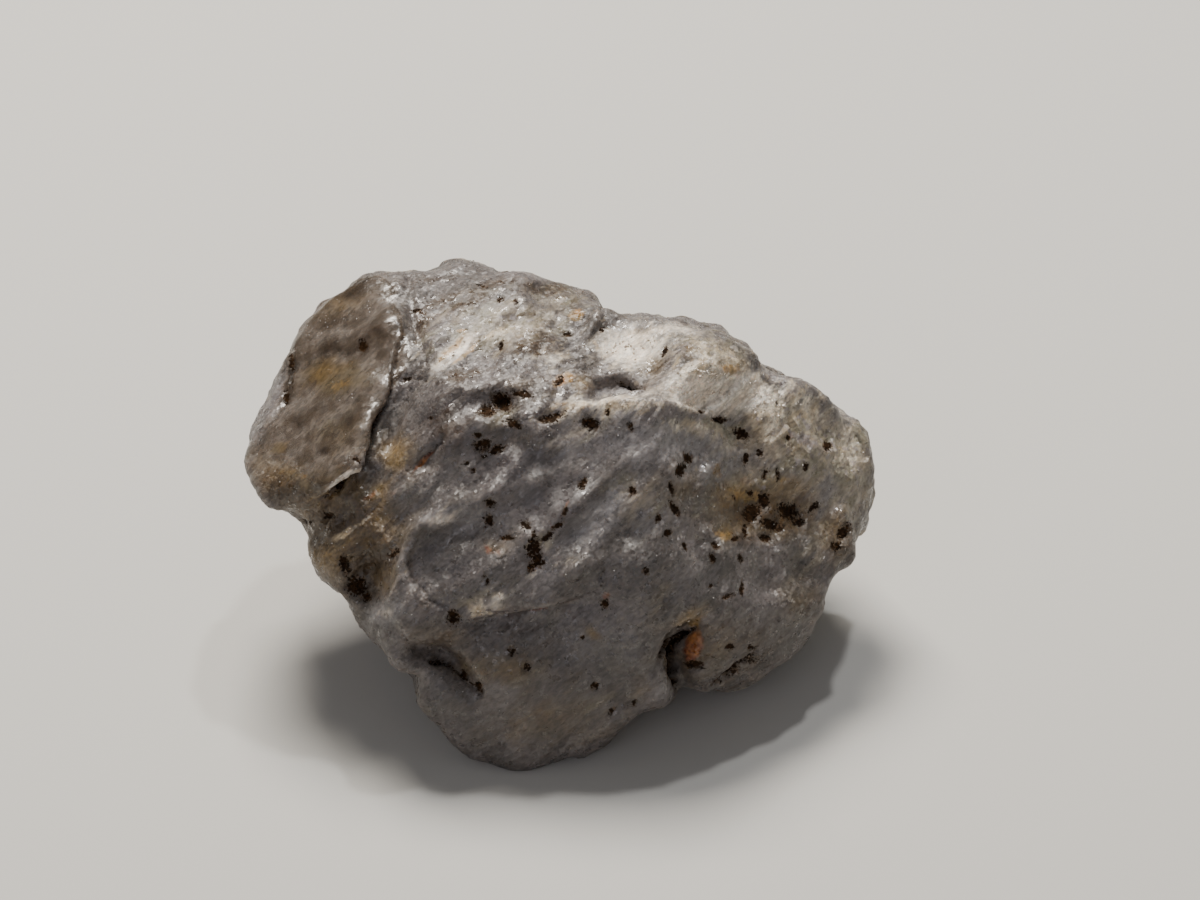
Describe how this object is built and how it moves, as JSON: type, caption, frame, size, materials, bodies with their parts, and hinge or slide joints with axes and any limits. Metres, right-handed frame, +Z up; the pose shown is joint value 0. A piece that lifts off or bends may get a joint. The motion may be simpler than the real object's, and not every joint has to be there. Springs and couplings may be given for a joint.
{
  "type": "herderite crystal",
  "caption": "Rough, smoky herderite crystal with a flat glassy end face, a cracked and stained front and a flat base to rest on.",
  "frame": {"origin": "centre of the bounding box, on the flat base", "axes": "+X along the stone's length, to the right of its best side; +Y to its back; +Z up"},
  "size_m": [0.0302, 0.0218, 0.0174],
  "materials": {
    "herderite": "smoky, part-clear and iron-stained, satin to glassy"
  },
  "bodies": {
    "root": {"herderite_crystal": "herderite"}
  },
  "joints": []
}
